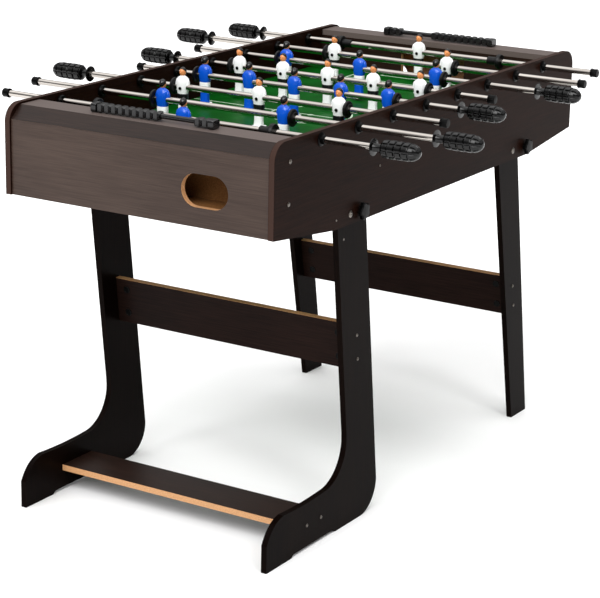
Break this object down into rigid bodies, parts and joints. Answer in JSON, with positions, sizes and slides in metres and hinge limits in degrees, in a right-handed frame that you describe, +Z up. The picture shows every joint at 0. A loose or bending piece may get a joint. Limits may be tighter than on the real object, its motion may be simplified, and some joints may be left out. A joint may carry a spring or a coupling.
{
  "type": "foosball table",
  "caption": "Folding foosball table: dark wood-grain box on a curved and a straight folding leg frame, with sliding, spinning player rods, ball return holes and sliding score counters.",
  "frame": {"origin": "on the floor, at the centre of the footprint", "axes": "+X along the table from the curved leg frame to the straight one, +Y along the rods towards the side with the white team's handles, +Z up"},
  "size_m": [1.22, 1.124, 0.8376],
  "materials": {
    "dark_wood_foil": "satin dark wood-grain foil on fibreboard",
    "raw_mdf": "uncoated fibreboard",
    "playfield_print": "printed green board with white field lines, semi-gloss",
    "black_plastic": "moulded black plastic",
    "chromed_steel": "bright chromed steel tube",
    "blue_men": "painted plastic, blue shirt and white shorts",
    "white_men": "painted plastic, white shirt and black shorts",
    "black_grip": "segmented black plastic grip"
  },
  "bodies": {
    "table": {"side_panel_right": "dark_wood_foil", "side_panel_left": "dark_wood_foil", "end_panel_near": "dark_wood_foil", "end_panel_far": "dark_wood_foil", "goal_wall_near": "dark_wood_foil", "goal_wall_far": "dark_wood_foil", "top_rail_near": "dark_wood_foil", "top_rail_far": "dark_wood_foil", "ball_tray_near": "raw_mdf", "ball_tray_far": "raw_mdf", "playfield": "playfield_print", "score_bar_near": "black_plastic", "score_bar_far": "black_plastic"},
    "near_leg_frame": {"curved_leg_right": "dark_wood_foil", "curved_leg_left": "dark_wood_foil", "near_cross_board": "dark_wood_foil", "foot_shelf": "dark_wood_foil"},
    "far_leg_frame": {"straight_leg_right": "dark_wood_foil", "straight_leg_left": "dark_wood_foil", "far_cross_board": "dark_wood_foil"},
    "near_score_row": {"score_beads_near": "black_plastic"},
    "far_score_row": {"score_beads_far": "black_plastic"},
    "rod_1_slide": {"rod_1": "chromed_steel"},
    "rod_1_turn": {"man_1_1": "blue_men", "handle_1": "black_grip"},
    "rod_2_slide": {"rod_2": "chromed_steel"},
    "rod_2_turn": {"man_2_1": "blue_men", "man_2_2": "blue_men", "handle_2": "black_grip"},
    "rod_3_slide": {"rod_3": "chromed_steel"},
    "rod_3_turn": {"man_3_1": "white_men", "man_3_2": "white_men", "man_3_3": "white_men", "handle_3": "black_grip"},
    "rod_4_slide": {"rod_4": "chromed_steel"},
    "rod_4_turn": {"man_4_1": "blue_men", "man_4_2": "blue_men", "man_4_3": "blue_men", "man_4_4": "blue_men", "man_4_5": "blue_men", "handle_4": "black_grip"},
    "rod_5_slide": {"rod_5": "chromed_steel"},
    "rod_5_turn": {"man_5_1": "white_men", "man_5_2": "white_men", "man_5_3": "white_men", "man_5_4": "white_men", "man_5_5": "white_men", "handle_5": "black_grip"},
    "rod_6_slide": {"rod_6": "chromed_steel"},
    "rod_6_turn": {"man_6_1": "blue_men", "man_6_2": "blue_men", "man_6_3": "blue_men", "handle_6": "black_grip"},
    "rod_7_slide": {"rod_7": "chromed_steel"},
    "rod_7_turn": {"man_7_1": "white_men", "man_7_2": "white_men", "handle_7": "black_grip"},
    "rod_8_slide": {"rod_8": "chromed_steel"},
    "rod_8_turn": {"man_8_1": "white_men", "handle_8": "black_grip"}
  },
  "joints": [
    {"name": "near_frame_fold", "type": "hinge", "parent": "table", "child": "near_leg_frame", "pos_m": [-0.344, 0, 0.636], "axis": [0, 1, 0], "range_deg": [0, 90]},
    {"name": "far_frame_fold", "type": "hinge", "parent": "table", "child": "far_leg_frame", "pos_m": [0.33, 0, 0.636], "axis": [0, 1, 0], "range_deg": [0, 80]},
    {"name": "near_score_slide", "type": "slide", "parent": "table", "child": "near_score_row", "axis": [0, -1, 0], "range_m": [0, 0.0764]},
    {"name": "far_score_slide", "type": "slide", "parent": "table", "child": "far_score_row", "axis": [0, 1, 0], "range_m": [0, 0.0764]},
    {"name": "rod_1_push", "type": "slide", "parent": "table", "child": "rod_1_slide", "axis": [0, 1, 0], "range_m": [-0.079, 0.079]},
    {"name": "rod_1_spin", "type": "hinge", "parent": "rod_1_slide", "child": "rod_1_turn", "pos_m": [-0.455, 0, 0.797], "axis": [0, 1, 0], "continuous": true},
    {"name": "rod_2_push", "type": "slide", "parent": "table", "child": "rod_2_slide", "axis": [0, 1, 0], "range_m": [-0.117, 0.117]},
    {"name": "rod_2_spin", "type": "hinge", "parent": "rod_2_slide", "child": "rod_2_turn", "pos_m": [-0.325, 0, 0.797], "axis": [0, 1, 0], "continuous": true},
    {"name": "rod_3_push", "type": "slide", "parent": "table", "child": "rod_3_slide", "axis": [0, 1, 0], "range_m": [-0.074, 0.074]},
    {"name": "rod_3_spin", "type": "hinge", "parent": "rod_3_slide", "child": "rod_3_turn", "pos_m": [-0.195, 0, 0.797], "axis": [0, 1, 0], "continuous": true},
    {"name": "rod_4_push", "type": "slide", "parent": "table", "child": "rod_4_slide", "axis": [0, 1, 0], "range_m": [-0.039, 0.039]},
    {"name": "rod_4_spin", "type": "hinge", "parent": "rod_4_slide", "child": "rod_4_turn", "pos_m": [-0.065, 0, 0.797], "axis": [0, 1, 0], "continuous": true},
    {"name": "rod_5_push", "type": "slide", "parent": "table", "child": "rod_5_slide", "axis": [0, 1, 0], "range_m": [-0.039, 0.039]},
    {"name": "rod_5_spin", "type": "hinge", "parent": "rod_5_slide", "child": "rod_5_turn", "pos_m": [0.065, 0, 0.797], "axis": [0, 1, 0], "continuous": true},
    {"name": "rod_6_push", "type": "slide", "parent": "table", "child": "rod_6_slide", "axis": [0, 1, 0], "range_m": [-0.074, 0.074]},
    {"name": "rod_6_spin", "type": "hinge", "parent": "rod_6_slide", "child": "rod_6_turn", "pos_m": [0.195, 0, 0.797], "axis": [0, 1, 0], "continuous": true},
    {"name": "rod_7_push", "type": "slide", "parent": "table", "child": "rod_7_slide", "axis": [0, 1, 0], "range_m": [-0.117, 0.117]},
    {"name": "rod_7_spin", "type": "hinge", "parent": "rod_7_slide", "child": "rod_7_turn", "pos_m": [0.325, 0, 0.797], "axis": [0, 1, 0], "continuous": true},
    {"name": "rod_8_push", "type": "slide", "parent": "table", "child": "rod_8_slide", "axis": [0, 1, 0], "range_m": [-0.079, 0.079]},
    {"name": "rod_8_spin", "type": "hinge", "parent": "rod_8_slide", "child": "rod_8_turn", "pos_m": [0.455, 0, 0.797], "axis": [0, 1, 0], "continuous": true}
  ]
}
